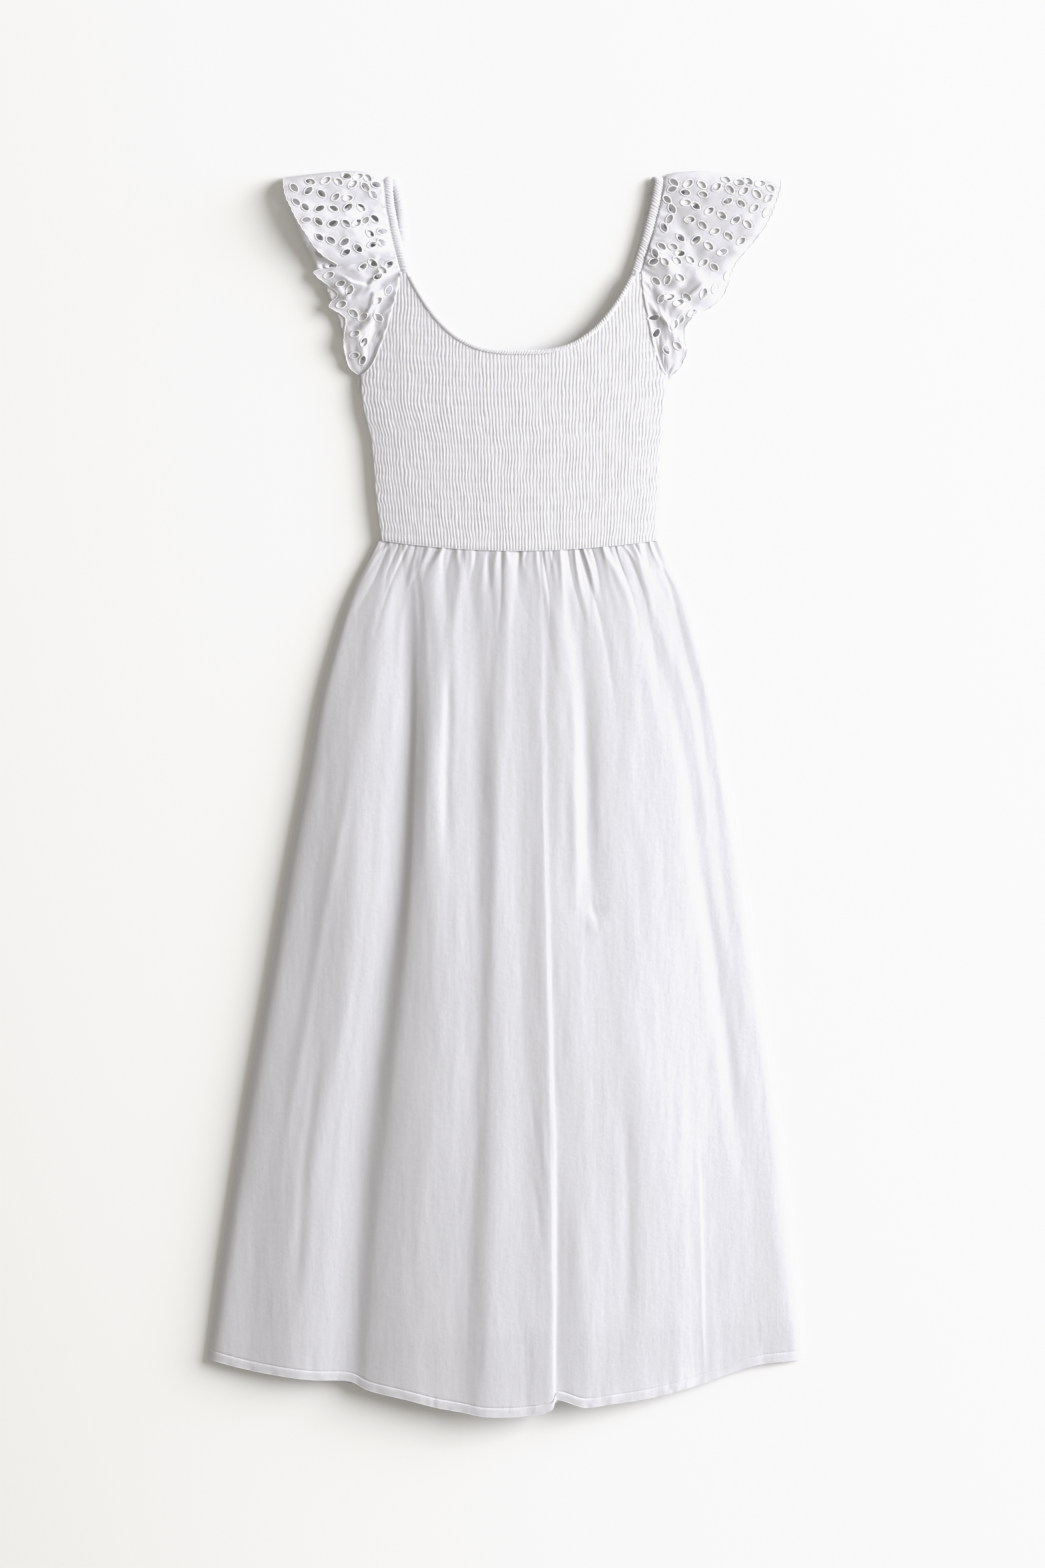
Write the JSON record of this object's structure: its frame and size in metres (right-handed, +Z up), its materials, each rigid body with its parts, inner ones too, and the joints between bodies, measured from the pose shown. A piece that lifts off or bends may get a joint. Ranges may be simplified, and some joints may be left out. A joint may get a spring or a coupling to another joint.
{
  "type": "smocked dress",
  "caption": "Sleeveless white midi dress with a shirred elastic bodice, gathered skirt and eyelet flutter sleeves, laid flat on its back.",
  "frame": {"origin": "middle of the covered area, on the surface that the dress lies on", "axes": "+Y from the hem to the shoulders, +X to the viewer's right across the dress, +Z up from the surface, out of the front of the dress"},
  "size_m": [0.6092, 1.2682, 0.0234],
  "materials": {
    "cotton": "matt fine cotton poplin",
    "slip_cotton": "matt thin cotton voile",
    "shirred_cotton": "matt cotton, elastic shirred",
    "eyelet_cotton": "matt cotton with cut and embroidered eyelets"
  },
  "bodies": {
    "root": {"skirt_back": "cotton", "skirt_lining": "slip_cotton", "skirt_front": "cotton", "bodice_back": "shirred_cotton", "bodice_front": "shirred_cotton", "neck_band_back": "shirred_cotton", "neck_band_front": "shirred_cotton", "strap_left": "shirred_cotton", "strap_right": "shirred_cotton", "sleeve_left_back": "eyelet_cotton", "sleeve_right_back": "eyelet_cotton", "sleeve_left_front": "eyelet_cotton", "sleeve_right_front": "eyelet_cotton"}
  },
  "joints": []
}
